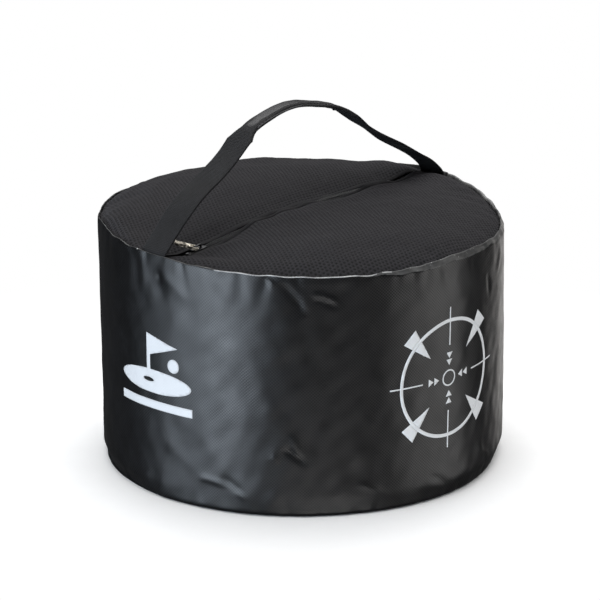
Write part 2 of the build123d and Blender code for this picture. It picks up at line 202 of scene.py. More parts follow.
def ease(obj, width, segments, angle):
    """Edges sharper than an angle rounded by a width in mm."""
    edge = obj.modifiers.new("edge", "BEVEL")
    edge.width = width * MM
    edge.segments = segments
    edge.limit_method = "ANGLE"
    edge.angle_limit = math.radians(angle)


def inside(points, loops):
    """Even-odd test of points against closed loops."""
    hit = np.zeros(len(points), bool)
    for lp in loops:
        a, b = np.asarray(lp), np.roll(np.asarray(lp), -1, axis=0)
        for (x0, y0), (x1, y1) in zip(a, b):
            if y0 == y1:
                continue
            crosses = (points[:, 1] > y0) != (points[:, 1] > y1)
            where = x0 + (points[:, 1] - y0) * (x1 - x0) / (y1 - y0)
            hit ^= crosses & (points[:, 0] < where)
    return hit


def ring_loop(radius, count=96, centre=(0, 0), squash=1.0):
    w = np.arange(count) * math.tau / count
    return np.stack([centre[0] + radius * np.cos(w), centre[1] + radius * squash * np.sin(w)], -1)


def denser(loop_points, step):
    out = []
    pts = np.asarray(loop_points, float)
    for a, b in zip(pts, np.roll(pts, -1, axis=0)):
        n = max(1, int(np.linalg.norm(b - a) / step))
        out += [a + (b - a) * k / n for k in range(n)]
    return np.array(out)


def filled(loops, step, grain=None):
    """Triangles over the flat region that loops enclose, on inner points grain apart."""
    loops = [denser(lp, step) for lp in loops]
    verts = np.concatenate(loops)
    edges, at = [], 0
    for lp in loops:
        edges += [(at + k, at + (k + 1) % len(lp)) for k in range(len(lp))]
        at += len(lp)
    if grain:
        low, high = verts.min(0), verts.max(0)
        inner = np.meshgrid(*(np.arange(low[k] + 1, high[k], grain) for k in (0, 1)))
        inner = np.stack([g.ravel() for g in inner], -1)
        inner = inner[inside(inner, loops)]
        if len(inner):
            near = np.min(np.linalg.norm(inner[:, None] - verts[None], axis=2), axis=1)
            verts = np.concatenate([verts, inner[near > 0.8]])
    got = geometry.delaunay_2d_cdt([Vector(p) for p in verts], edges, [], 0, 1e-5)
    flat = np.array([list(v) for v in got[0]])
    tris = np.array([f for f in got[2] if len(f) == 3])
    tris = tris[inside(flat[tris].mean(1), loops)]
    a, b, c = (flat[tris[:, k]] for k in range(3))
    area = (b[:, 0] - a[:, 0]) * (c[:, 1] - a[:, 1]) - (b[:, 1] - a[:, 1]) * (c[:, 0] - a[:, 0])
    tris[area < 0] = tris[area < 0][:, ::-1]
    return flat, tris


def trimmed(points, faces):
    """The points that triangles use, and the triangles renumbered."""
    used, faces = np.unique(faces, return_inverse=True)
    return points[used], faces.reshape(-1, 3)


# ---- materials --------------------
class Shader:
    """A node material with short calls for the usual nodes."""

    def __init__(self, name, **values):
        self.material = bpy.data.materials.new(name)
        self.material.use_nodes = True
        self.tree = self.material.node_tree
        self.bsdf = self.tree.nodes["Principled BSDF"]
        for key, value in values.items():
            self.bsdf.inputs[key].default_value = value

    def node(self, kind, **inputs):
        made = self.tree.nodes.new(kind)
        for key, value in inputs.items():
            self.put(made, key, value)
        return made

    def put(self, node, key, value):
        socket = node.inputs[key]
        if isinstance(value, bpy.types.NodeSocket):
            self.tree.links.new(value, socket)
        else:
            socket.default_value = value

    def set(self, key, value):
        self.put(self.bsdf, key, value)

    def math(self, operation, a, b=0.0, clamp=False):
        made = self.tree.nodes.new("ShaderNodeMath")
        made.operation = operation
        made.use_clamp = clamp
        self.put(made, 0, a)
        self.put(made, 1, b)
        return made.outputs[0]

    def times(self, a, b, clamp=False):
        return self.math("MULTIPLY", a, b, clamp)

    def surface(self):
        """u and v in millimetres along the cloth."""
        coords = self.tree.nodes.new("ShaderNodeUVMap")
        split = self.node("ShaderNodeSeparateXYZ", Vector=coords.outputs[0])
        return [self.times(split.outputs[k], 1 / MM) for k in (0, 1)]

    def place(self):
        return self.tree.nodes.new("ShaderNodeTexCoord").outputs["Object"]

    def texture(self, kind, **inputs):
        return self.node(kind, Vector=self.place(), **inputs)

    def noise(self, scale, detail=3.0, roughness=0.55):
        return self.texture("ShaderNodeTexNoise", Scale=scale, Detail=detail, Roughness=roughness).outputs["Fac"]

    def ramp(self, factor, low=0, high=1, a=0.3, b=0.7):
        """A factor from a to b stretched over low to high."""
        made = self.tree.nodes.new("ShaderNodeMapRange")
        for key, value in (("From Min", a), ("From Max", b), ("To Min", low), ("To Max", high)):
            made.inputs[key].default_value = value
        self.put(made, "Value", factor)
        return made.outputs["Result"]

    def mix(self, factor, a, b):
        made = self.tree.nodes.new("ShaderNodeMix")
        made.data_type = "RGBA"
        self.put(made, 0, factor)
        for index, colour in ((6, a), (7, b)):
            self.put(made, index, colour if isinstance(colour, bpy.types.NodeSocket) else (*colour, 1))
        return made.outputs[2]

    def colour(self, factor, a, b):
        self.set("Base Color", self.mix(factor, a, b))

    def relief(self, *layers):
        """Bumps laid one on another: (height, distance in mm, strength) each."""
        normal = None
        for height, distance, strength in layers:
            made = self.node("ShaderNodeBump", Height=height, Strength=strength, Distance=distance * MM)
            if normal is not None:
                self.put(made, "Normal", normal)
            normal = made.outputs["Normal"]
        self.set("Normal", normal)


def dim(colour, share):
    return tuple(c * share for c in colour)


def scrim(s, pitch=2.88):
    """The diagonal threads of the cloth under the coating, -1 to 1."""
    u, v = s.surface()
    k = math.tau / pitch
    along, across = (s.math("SINE", s.times(s.math(way, u, v), k)) for way in ("ADD", "SUBTRACT"))
    return s.times(s.math("ADD", along, across), 0.5)


def coated_fabric(name, base=(0.0025, 0.0025, 0.0028), rough=0.33):
    s = Shader(name, IOR=1.38)
    weave = scrim(s)
    cloudy = s.noise(60, 3, 0.6)
    s.colour(s.ramp(s.noise(14, 4, 0.6)), dim(base, 0.7), dim(base, 1.5))
    s.set("Roughness", s.ramp(cloudy, rough - 0.05, rough + 0.06))
    s.set("Specular IOR Level", s.ramp(weave, 0.28, 0.72, -1, 1))
    s.relief((weave, 0.05, 0.9), (s.noise(900, 2), 0.03, 0.3), (cloudy, 0.35, 0.4))
    return s.material


def fabric_edge(name, low, high, fray=0.66):
    """The folded edge, where wear and the cut thread ends show the pale cloth inside; its paler copies paint
    highlight and light on the lip.
    """
    s = Shader(name, IOR=1.45, Roughness=0.45)
    frayed = s.noise(420, 3, 0.7)
    wear_and_highlight = s.ramp(s.noise(90, 3, 0.6), a=0.35)
    base = s.mix(wear_and_highlight, (low, low, low * 1.03), (high, high, high * 0.98))
    s.colour(s.ramp(frayed, a=fray, b=fray + 0.08), base, (0.42, 0.42, 0.41))
    s.relief((frayed, 0.15, 0.5))
    return s.material


def knit(name, light, dark, hole=False):
    s = Shader(name, IOR=1.3, Roughness=0.9)
    strands = s.noise(2600, 2, 0.6)
    tint = s.times(s.ramp(strands, 0.6, 1.4), s.ramp(s.noise(45), 0.85, 1.15), clamp=True)
    s.colour(tint, dark, light)
    if not hole:
        s.set("Sheen Weight", 0.02)
        s.set("Sheen Roughness", 0.6)
    s.relief((strands, 0.18, 0.8))
    return s.material


def webbing_cloth(name, base, rib_pitch=1.5, twill=1.9):
    s = Shader(name, IOR=1.28, Roughness=0.75)
    u, v = s.surface()
    row = s.math("SINE", s.times(u, math.tau / rib_pitch))
    zig = s.math("ABSOLUTE", s.math("SINE", s.times(v, math.pi / twill)))
    weave = s.times(s.math("ADD", row, 1.0), zig)
    shade = s.math("ADD", s.ramp(weave, 0.0, 0.7, 0, 2), s.ramp(s.noise(70), -0.1, 0.3), clamp=True)
    s.colour(shade, dim(base, 0.45), dim(base, 1.5))
    s.set("Sheen Weight", 0.02)
    s.relief((weave, 0.16, 0.8), (s.noise(3200, 2), 0.06, 0.4))
    return s.material


def leatherette(name):
    s = Shader(name, IOR=1.34, Roughness=0.5)
    grain = s.texture("ShaderNodeTexVoronoi", Scale=1400.0)
    grain.feature = "DISTANCE_TO_EDGE"
    pebble = s.ramp(grain.outputs["Distance"], a=0.0, b=0.35)
    wear = s.noise(90, 4, 0.6)
    s.colour(s.ramp(wear, a=0.35), (0.0055, 0.0055, 0.0063), (0.0105, 0.0105, 0.012))
    s.set("Roughness", s.ramp(wear, 0.37, 0.52))
    s.relief((pebble, 0.03, 0.5), (s.noise(220, 3, 0.5), 0.16, 0.3))
    return s.material


def thread_cloth(name, colour):
    s = Shader(name, IOR=1.45, Roughness=0.55)
    twisted = s.texture("ShaderNodeTexWave", Scale=900.0, Distortion=1.5, Detail=1.0)
    twisted.bands_direction = "DIAGONAL"
    s.colour(twisted.outputs["Fac"], dim(colour, 0.6), colour)
    s.set("Sheen Weight", 0.1)
    s.relief((twisted.outputs["Fac"], 0.1, 0.7))
    return s.material


def metal(name, colour, rough=0.4):
    s = Shader(name, Metallic=1.0)
    scuff = s.noise(500, 4, 0.6)
    s.colour(s.ramp(s.noise(60), b=0.75), colour, dim(colour, 0.7))
    s.set("Roughness", s.ramp(scuff, rough - 0.06, rough + 0.16, a=0.35))
    s.relief((scuff, 0.02, 0.3))
    return s.material


def nylon(name, colour):
    s = Shader(name, IOR=1.5, Roughness=0.35)
    streak = s.noise(700)
    s.colour(streak, dim(colour, 0.7), colour)
    s.relief((streak, 0.03, 0.4))
    return s.material


def print_ink(name, colour):
    s = Shader(name, IOR=1.45, Roughness=0.45)
    tone = s.mix(s.ramp(s.noise(40)), dim(colour, 0.93), colour)
    fleck = s.ramp(s.noise(1500, 2, 0.7), high=0.25, a=0.62, b=0.75)
    s.colour(fleck, tone, dim(colour, 0.6))
    s.relief((scrim(s), 0.05, 0.7))
    return s.material


def towelling(name):
    s = Shader(name, IOR=1.35, Roughness=0.95)
    loops = s.texture("ShaderNodeTexVoronoi", Scale=420.0).outputs["Distance"]
    s.colour(s.ramp(loops, a=0, b=0.8), (0.55, 0.54, 0.5), (0.32, 0.31, 0.29))
    s.set("Sheen Weight", 0.3)
    s.relief((loops, 0.8, 0.9))
    return s.material


M = {
    "fabric": coated_fabric("coated_fabric"),
    "edge": fabric_edge("coated_fabric_edge", 0.022, 0.075),
    "edge_dark": fabric_edge("coated_fabric_edge_dark", 0.01, 0.05, 0.7),
    # painted highlight: a paler copy of the edge for the top of the near lip
    "edge_painted_highlight": fabric_edge("coated_fabric_edge_painted_highlight", 0.16, 0.42, 0.6),
    # painted light: a paler copy of the edge for the lip's band at the right, as if lit from above
    "edge_painted_light": fabric_edge("coated_fabric_edge_painted_light", 0.08, 0.22, 0.6),
    "binding": webbing_cloth("binding_tape", (0.012, 0.012, 0.013), 1.2, 1.2),
    "thread": thread_cloth("thread", (0.012, 0.012, 0.013)),
    "grip_thread": thread_cloth("grip_thread", (0.06, 0.06, 0.066)),
    "knit": knit("air_mesh", (0.0115, 0.0107, 0.0127), (0.0055, 0.0052, 0.0061)),
    # painted shade: a darker copy of the knit for the hem rolls in the valley by the zip
    "fold": knit("air_mesh_fold_painted_shade", (0.0085, 0.008, 0.0092), (0.004, 0.0038, 0.0045)),
    # painted shade: a darker copy of the knit for the floors of the pits
    "hole": knit("air_mesh_hole_painted_shade", (0.005, 0.0048, 0.0054), (0.0022, 0.0022, 0.0024), hole=True),
    "tape": webbing_cloth("zip_tape", (0.006, 0.006, 0.0065), 0.9, 0.9),
    "coil": nylon("zip_coil", (0.006, 0.006, 0.007)),
    "zip_metal": metal("zip_metal", (0.05, 0.05, 0.052)),
    "pull_metal": metal("pull_metal", (0.86, 0.8, 0.69)),
    "webbing": webbing_cloth("webbing", (0.0085, 0.0083, 0.009)),
    "leatherette": leatherette("grip_leatherette"),
    "target": print_ink("target_ink", (0.6, 0.62, 0.64)),
    "badge": print_ink("badge_ink", (0.43, 0.44, 0.455)),
    "towel": towelling("towel"),
}


# ---- the drum's wall --------------------
RADIUS = 190.0
RIM_TABLE = [
    (-180, 232), (-150, 234), (-142, 232), (-135, 231), (-128, 235), (-121, 238), (-112, 233.5), (-98, 231.5),
    (-89, 231), (-72, 227.5), (-61, 226.5), (-45, 225), (-34, 224.3), (-17, 224.5), (2, 228.5), (28, 225.8),
    (50, 226.5), (62, 230.5), (68, 233), (74, 235.5), (82, 238.5), (88, 240.5), (94, 241), (101, 240.5),
    (110, 236), (120, 232.5), (140, 231), (180, 232),
]
RIM_AZ = np.linspace(-180, 180, 721)
RIM_Z = look_up(RIM_TABLE, RIM_AZ)
KERNEL = np.hanning(33) / np.hanning(33).sum()
RIM_Z = np.convolve(np.concatenate([RIM_Z[-17:-1], RIM_Z, RIM_Z[1:17]]), KERNEL, "valid")


def one_turn(az):
    """The bearing between -180 and 180."""
    return (np.asarray(az, float) + 180) % 360 - 180


def rim_z(az):
    """Height of the wall's top edge."""
    az = one_turn(az)
    return np.interp(az, RIM_AZ, RIM_Z) + 0.35 * around(az, 14, 60, 1)


# creases: (bearing, height) of both ends, lift in mm, half-width in mm
CREASES = [
    (-87.2, 217, -77.5, 193, 0.7, 6.0), (-91.5, 214, -84, 188, -0.55, 8.0), (-88.2, 213, -86.5, 209, -1.0, 3.0),
    (-100.0, 232, -99.5, 186, 0.35, 5.0), (-96.6, 230, -96.0, 190, -0.35, 4.2), (-94.2, 232, -93.4, 194, 0.35, 4.2),
    (-106, 232, -107, 196, -0.3, 5.0), (-68, 222, -65, 200, 0.7, 8.0), (-62.5, 222, -62, 196, -0.15, 6.0),
    (-54.5, 223, -52.5, 216, 0.9, 2.2), (-50.5, 219, -44.5, 193, -0.8, 3.4), (-48.8, 219, -43.0, 193, 0.5, 3.4),
    (-42.2, 209, -36, 201, 1.0, 2.2), (-42.0, 205, -36, 197, -0.7, 2.6), (-15, 214, -9, 194, 0.8, 8.0),
    (18.5, 196, 20.5, 176, -1.0, 4.0), (-4, 216, 0, 200, -0.5, 5.0), (30, 214, 27, 190, 0.6, 5.0),
    (-74, 30, -66, 26, 0.9, 2.6), (-67, 34, -61, 20, -0.7, 3.0), (-63, 22, -60.5, 15, 0.9, 2.0),
    (-53.2, 60, -51.5, 52, 0.8, 1.8), (-50, 66, -44.5, 52, -1.1, 3.0), (-48, 78, -46, 58, 0.6, 3.0),
    (-58, 120, -46, 50, 0.35, 9.0), (-80, 86, -66, 40, 0.5, 10.0), (-88, 60, -74, 30, 0.4, 7.0),
    (-30, 30, -22, 18, 0.7, 3.0), (-8, 26, -2, 14, -0.7, 3.0), (12, 34, 20, 18, 0.6, 3.4),
    (120, 212, 128, 190, 0.9, 3.0), (150, 214, 144, 192, -0.9, 3.2), (-160, 216, -152, 192, 0.8, 3.0),
    (172, 60, 178, 34, 0.7, 3.4), (140, 40, 150, 22, -0.7, 3.2), (-140, 44, -132, 24, 0.7, 3.0),
    (80, 210, 86, 190, 0.7, 3.6), (60, 214, 56, 196, -0.6, 3.4), (98, 40, 104, 20, 0.7, 3.0),
]


def pucker_list(seed, gap_low, gap_high):
    """Puckers round a seam: bearing, depth, half-width, length and slant of each."""
    rng = np.random.default_rng(SEED + seed)
    made, az = [], -180.0
    while az < 178.5:
        sizes = [rng.uniform(*span) for span in ((0.25, 1.0), (2.2, 5.5), (7, 30), (-0.35, 0.35))]
        made.append((az, *sizes))
        az += math.degrees(rng.uniform(gap_low, gap_high) / RADIUS)
    return made


TOP_PUCKERS = pucker_list(2, 9, 26)
FOOT_PUCKERS = pucker_list(3, 11, 30)
SETTLE_AZ, FRONT_AZ = 44.5, -45.5


def arc_gap(az, centre):
    """Distance round the wall from a bearing, in mm."""
    return np.radians(one_turn(np.asarray(az) - centre)) * RADIUS


def puckers(az, away, made):
    """How deep the puckers of a seam are, at a distance away from it."""
    depth = 0
    for centre, deep, wide, long, slant in made:
        gap = arc_gap(az, centre) - slant * away
        depth = depth + deep * bell(gap, wide * (1 + away / 30)) * np.exp(-np.clip(away, 0, None) / long)
    return depth


def wall_lift(az, z):
    """How far the cloth stands out from the drum's radius."""
    az, z = np.broadcast_arrays(np.asarray(az, float), np.asarray(z, float))
    height = rim_z(az)
    up = z / height
    # the heavy filling settles: the drum leans a little and is widest low down
    low = (1 - smooth(0, 1.05, up)) * smooth(0, 22, z)
    lift = 0.75 * around(az, 8, 7, 4) * np.sin(np.pi * np.clip(up, 0, 1)) ** 0.6
    lift += (1.3 + 2.6 * np.cos(np.radians(az - SETTLE_AZ))) * low
    lift += 1.6 * bell(az - SETTLE_AZ, 42) * (1 - low)
    # the foot's corner is rounder at the two sides than at the front
    aside = np.abs(az - FRONT_AZ)
    rounder = between(30, 62, 104, 134, aside) * np.where(az > FRONT_AZ, 3.2, 5.6)
    lift -= rounder * (1 - smooth(0, 18, z))
    lift += 0.45 * around(az + 14 * up, 10, 15, 5) * (0.35 + 0.65 * np.abs(2 * up - 1))
    join_fade = between(-180, -168, 168, 180, az)
    lift += 0.13 * waves(np.radians(az) * RADIUS, z, 26, 16, 60, 6) * (0.3 + 0.7 * join_fade)
    lift -= puckers(az, height - z, TOP_PUCKERS) + puckers(az, z, FOOT_PUCKERS)
    for az0, z0, az1, z1, tall, wide in CREASES:
        run = math.radians(az1 - az0) * RADIUS
        fall = z1 - z0
        span = math.hypot(run, fall)
        gap = arc_gap(az, az0)
        t = (gap * run + (z - z0) * fall) / span**2
        off = (gap * -fall + (z - z0) * run) / span
        bow = off - 0.05 * span * np.sin(np.pi * np.clip(t, 0, 1))
        lift += tall * bell(bow, wide) * between(-0.15, 0.3, 0.65, 1.2, t)
    return lift


def near_strap(az):
    """1 where a strap's root passes between wall and top, 0 elsewhere."""
    gap = np.minimum(np.abs(arc_gap(az, -90)), np.abs(arc_gap(az, 90)))
    return 1 - smooth(15.5, 21, gap)


def folded(az):
    """1 where the folded edge leans in over the mesh and shows its width, 0 elsewhere."""
    az = one_turn(az)
    return between(-31, -15, 150, 178, az)


COLS = 640
BODY_ROWS, FOLD_ROWS, LIP_ROWS = 89, 8, 7
FOOT, SOLE, FLOOR_GAP = 4.5, 178.5, 0.3
FOLD, LIP_RISE, CLOTH = 5.0, 1.4, 2.6
az_cols = np.linspace(-180, 180, COLS, endpoint=False)
rim = rim_z(az_cols)
slim = near_strap(az_cols)
flap = folded(az_cols)
lean = (0.25 + 1.75 * flap) * (1 - slim) + 0.15 * slim
lip_width = 1.9 + 1.6 * flap + 0.25 * around(az_cols, 12, 50, 8)
inner = (RADIUS - lip_width) * (1 - slim) + 188.35 * slim
lip, half = (RADIUS - lean + inner) / 2, (RADIUS - lean - inner) / 2
fold_z = rim - LIP_RISE - FOLD

# the wall's section as rows of (radius, height, share of the wall's lift), from the sole up the
# outside, over the folded lip and down the inside
rows = [(SOLE, FLOOR_GAP, 0.1)]


def foot_row(angle, depth, share):
    """A row of the foot's rounded corner, a depth inside the cloth's outer face."""
    a = math.radians(angle)
    reach = FOOT - depth
    rows.append((RADIUS - FOOT + reach * math.cos(a), FLOOR_GAP + FOOT + reach * math.sin(a), share))


for angle in np.linspace(-88, -2, 8):
    foot_row(angle, 0, 0.15 + 0.85 * smooth(-88, -20, angle))
for t in np.linspace(0, 1, BODY_ROWS + 1)[1:]:
    rows.append((RADIUS, FOOT + 0.5 + (fold_z - FOOT - 0.5) * t, 1.0))
for t in np.linspace(0, 1, FOLD_ROWS + 1)[1:]:
    swollen = 0.35 * flap * math.sin(math.pi * t)
    rows.append((RADIUS + swollen - lean * t**1.4, fold_z + FOLD * t, 1.0))
lip_row = len(rows)
for angle in np.linspace(25, 175, LIP_ROWS):
    a = math.radians(angle)
    rows.append((lip + half * math.cos(a), rim - LIP_RISE + LIP_RISE * math.sin(a), 1.0 - 0.75 * angle / 175))
for depth in (3.0, 6.0, 9.5):
    rows.append((inner, rim - depth, 0.25))
for depth, out in ((9.5, 0.75), (14, 0.96875), (22, 1), (34, 1)):
    rows.append((inner + (RADIUS - CLOTH - inner) * out, rim - depth, 1.0))
for t in np.linspace(0, 1, 14)[1:]:
    rows.append((RADIUS - CLOTH, (rim - 34) * (1 - t) + (FOOT + 1) * t, 1.0))
for angle in (-30, -60, -88):
    foot_row(angle, CLOTH, 0.5)
rows.append((SOLE, CLOTH, 0.1))

rows = [(r + 0 * rim, z + 0 * rim, share) for r, z, share in rows]
radial = np.stack([r + share * wall_lift(az_cols, z) for r, z, share in rows])
heights = np.maximum(np.stack([z for _, z, _ in rows]), 0.2)
profile = np.array([[np.mean(r), np.mean(z)] for r, z, _ in rows + rows[:1]])
wall_uv = grid_uv(np.linspace(0, math.tau * RADIUS, COLS + 1), lengths(profile), True, True)

# finishes of its faces: 0 coated, 1 folded edge, 2 the edge's dark side, 3 a paler copy of the edge painted as
# highlight on the near lip's top, 4 a paler copy of the edge painted as light on the lip's band at the right
past_lip = np.repeat(np.arange(len(rows)), COLS) - lip_row
az_of_face = np.tile(az_cols, len(rows))
on_lip = past_lip <= LIP_ROWS
shown = between(-36, -6, 150, 176, az_of_face)
shown = shown * (7.2 + 0.8 * around(az_of_face, 9, 40, 9))
# painted highlight: the stretch of the near lip's top made paler to stand for its highlight
wear_and_highlight = between(-80, -60, -32, -14, az_of_face)
wear_and_highlight = wear_and_highlight + 0.22 * around(az_of_face, 12, 110, 7)
# painted light: the stretch of lip at the right made paler to stand for the light on its band
painted_light_band = between(52, 62, 80, 92, az_of_face)
painted_light_band = painted_light_band + 0.25 * around(az_of_face, 12, 90, 12)
finish = np.zeros(len(past_lip), int)
finish[(past_lip >= 1) & on_lip] = 2
finish[(past_lip >= -shown) & on_lip & (shown > 0.5)] = 1
finish[(past_lip >= 0) & (past_lip < 4) & (wear_and_highlight > 0.5)] = 3
finish[(past_lip >= 2) & on_lip & (painted_light_band > 0.5)] = 4
wall = piece(
    "wall_cloth", polar(radial, az_cols, heights), grid_faces(len(rows), COLS, True, True), "coated_fabric",
    ("fabric", "edge", "edge_dark", "edge_painted_highlight", "edge_painted_light"), uv=wall_uv, face_slots=finish,
)
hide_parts("side_panel", "top_seam_binding")


# ---- the mesh top --------------------
ZIP_R, ZIP_X, ZIP_Z = 1200.0, 70.0, -962.0
ZIP_STRAIGHT = 150
# how the edge of the near half wanders up and down: (x, rise)
HEM_WAVE = [
    (-190, 0), (-150, 0), (-128, -1.5), (-107, -3.0), (-93, -1.6), (-79, 0.4), (-67, 3.2), (-56, 2.0), (-45, 0.8),
    (-31, 2.2), (-13, 0.4), (0, 1.4), (9, 0.6), (27, -3.6), (46, -4.2), (69, -2.4), (82, 0.6), (94, 2.2), (107, 1.0),
    (126, -2.4), (138, -1.6), (155, 0), (190, 0),
]
# the two halves by their distance from the zip and from the centre: front, then back
AWAY = ((0, 8, 16, 28, 60, 120, 200), (0, 8, 16, 25, 60, 120, 200))
VALLEY = ((3.4, 3.8, 6.8, 9.2, 12.5, 18, 23), (1.7, 1.9, 4.0, 7.0, 16.0, 26, 32))
REACH = (0, 60, 100, 140, 168, 180, 187)
CROWN = (247.5, 255.5)
CROWN_FALL = ((0, 0.5, 1.8, 5.2, 11.0, 16.0, 20.5), (0, 0.5, 1.8, 6.9, 17.0, 23.3, 28.5))
HEM_Y = {-1: 7.4, 1: 9.0}
PITCH = 4.1


def zip_z(x):
    """Height of the zip's line."""
    x = np.asarray(x, float)
    arc = ZIP_Z + np.sqrt(ZIP_R**2 - (np.clip(x, -ZIP_STRAIGHT, ZIP_STRAIGHT) - ZIP_X) ** 2)
    left, right = 221.5 - arc, 222.5 - arc
    return arc + left * smooth(-ZIP_STRAIGHT, -187, x) + right * smooth(ZIP_STRAIGHT, 187, x)


def rim_shift(x, y):
    """How far the rim lifts or lowers the mesh near its edge."""
    az = bearing_of(x, y)
    sunk = 1.5 + 1.7 * folded(az)
    return (rim_z(az) - sunk - 227) * smooth(120, 186.5, np.hypot(x, y))


def top_z(x, y):
    """Height of the mesh top."""
    x, y = np.asarray(x, float), np.asarray(y, float)
    r, az, away = np.hypot(x, y), bearing_of(x, y), np.abs(y)
    front = y < 0
    ripple = look_up(HEM_WAVE, x) * bell(np.maximum(away - 7, 0), 17)
    front_dip, back_dip = (np.interp(away, AWAY[k], VALLEY[k]) for k in (0, 1))
    valley = zip_z(x) + np.where(front, front_dip + ripple, back_dip + 0.35 * ripple)
    front_crown, back_crown = (CROWN[k] - np.interp(r, REACH, CROWN_FALL[k]) for k in (0, 1))
    crown = np.where(front, front_crown, back_crown) + 2.8 * bell(az - 152, 13) * smooth(90, 150, r)
    z = soft_min(valley, crown, 7.0) + rim_shift(x, y)
    z += 0.35 * waves(x, y, 18, 45, 110, 10) * (1 - smooth(160, 186, r))
    z += 0.08 * waves(x, y, 30, 14, 34, 11) * (1 - smooth(174, 186, r))
    z += 0.3 * around(az, 16, 46, 12) * between(150, 178, 178, 187, r)
    return z


def edge_radius(az):
    return 187.2 - 1.5 * folded(az) - 1.5 * near_strap(az)


def lattice(side):
    """One half of the top as a knit with a pit in every cell, its floor in painted shade."""
    step_y = PITCH * math.sqrt(3) / 2
    centres = []
    for row in range(0, int(195 / step_y) + 2):
        y = HEM_Y[side] + (row - 0.3) * step_y
        for col in range(-48, 49):
            x = col * PITCH + PITCH / 2 * (row % 2)
            if math.hypot(x, y) < 188:
                centres.append((x, y))
    centres = np.array(centres)
    corner = np.radians(np.arange(6) * 60 + 30)
    hexagon = np.stack([np.cos(corner), np.sin(corner)], -1)
    rng = np.random.default_rng(SEED + 13 + side)
    near_rim = smooth(150, 180, np.hypot(centres[:, 0], centres[:, 1]))
    near_zip = bell(centres[:, 1] - 9, 22) if side > 0 else 0
    open_here = 0.9 + 0.36 * np.maximum(near_rim, near_zip)
    hole_size = (rng.uniform(0.92, 1.14, len(centres)) * open_here)[:, None, None]
    mid = centres[:, None] + rng.normal(0, 0.1, (len(centres), 1, 2))
    outer = centres[:, None] + hexagon * (PITCH / math.sqrt(3))
    flat = np.concatenate([outer, mid + hexagon * hole_size, mid], 1).reshape(-1, 2)
    drop = np.tile([-0.16] * 6 + [0.3] * 6 + [1.15], len(centres))
    # vertices shared by neighbouring cells are one vertex
    shared, index = np.unique(np.round(flat * 50).astype(int), axis=0, return_inverse=True)
    index = index.ravel()
    first = np.zeros(len(shared), int)
    first[index[::-1]] = np.arange(len(flat))[::-1]
    xy, drop = flat[first], drop[first]
    xy = np.stack([xy[:, 0], side * np.maximum(xy[:, 1], HEM_Y[side])], -1)
    r, limit = np.hypot(xy[:, 0], xy[:, 1]), edge_radius(bearing_of(xy[:, 0], xy[:, 1]))
    scale = np.where(r > limit, limit / r, 1)
    xy = xy * scale[:, None]
    faces, slots = [], []
    for base in range(0, len(index), 13):
        for k in range(6):
            n = (k + 1) % 6
            o0, o1, i0, i1, m = (index[base + j] for j in (k, n, 6 + k, 6 + n, 12))
            # slot 1 is the pit's floor, in the darker knit copy that paints its shade
            for tri, slot in (((o0, o1, i1), 0), ((o0, i1, i0), 0), ((i0, i1, m), 1)):
                a, b, d = (xy[t] for t in tri)
                area = abs((b[0] - a[0]) * (d[1] - a[1]) - (b[1] - a[1]) * (d[0] - a[0]))
                if len(set(tri)) == 3 and area > 1e-3:
                    faces.append(tri[::side])
                    slots.append(slot)
    z = top_z(xy[:, 0], xy[:, 1]) - drop * np.where(scale < 1, 0.3, 1)
    return *trimmed(np.concatenate([xy, z[:, None]], 1), np.array(faces)), slots


def hem(side, thick, wavy, lift, reach):
    """The rolled, folded edge of the mesh beside the zip."""
    xs = np.arange(-182.5, 182.6, 1.25)
    wobble = waves(xs, 0 * xs, 9, 22, 70, 20 + side) * wavy
    small = waves(xs, 0 * xs, 9, 6, 16, 25 + side) * wavy * 0.25
    swell = between(-135, -95, 150, 178, xs)
    half_w, centre_y = (HEM_Y[side] - reach) / 2 + 0.5, (HEM_Y[side] + 0.5 + reach) / 2
    tall = thick * (0.45 + 0.55 * swell * (1 + 0.25 * wobble / wavy))
    wave = look_up(HEM_WAVE, xs) * (1.0 if side < 0 else 0.3)
    level = zip_z(xs) + 2.4 + wave + rim_shift(xs, np.full_like(xs, side * 5.0))
    joined = top_z(xs, side * np.full_like(xs, HEM_Y[side] + 0.5))
    loops = []
    for a in np.radians(np.arange(0, 360, 22.5)):
        free = (1 - math.cos(a)) / 2
        y = np.maximum(centre_y + half_w * math.cos(a) + (wobble + small) * free * swell, 3.9)
        rise = tall * max(0, math.sin(a)) ** 0.8 + 1.5 * min(0, math.sin(a))
        z = joined * (1 - free) + level * free + rise * (0.55 + 0.45 * free) + lift * free * swell
        loops.append(xyz(xs, side * y, z))
    return tube(np.stack(loops)[::-side], xs, np.linspace(0, 24, len(loops) + 1))


for side, word, roll in ((-1, "front", (1.9, 0.8, 1.6, 4.2)), (1, "back", (0.8, 0.3, -1.9, 6.0))):
    points, faces, slots = lattice(side)
    top = piece(f"mesh_top_{word}", points, faces, "air_mesh", ("knit", "hole"), face_slots=slots)
    thicken(top, 1.4)
    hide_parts(f"top_mesh_{word}")
    points, faces, uv = hem(side, *roll)
    # the hem rolls use the darker knit copy, which paints their shade
    piece(f"mesh_hem_{word}", points, faces, "air_mesh", ("fold",), uv=uv)


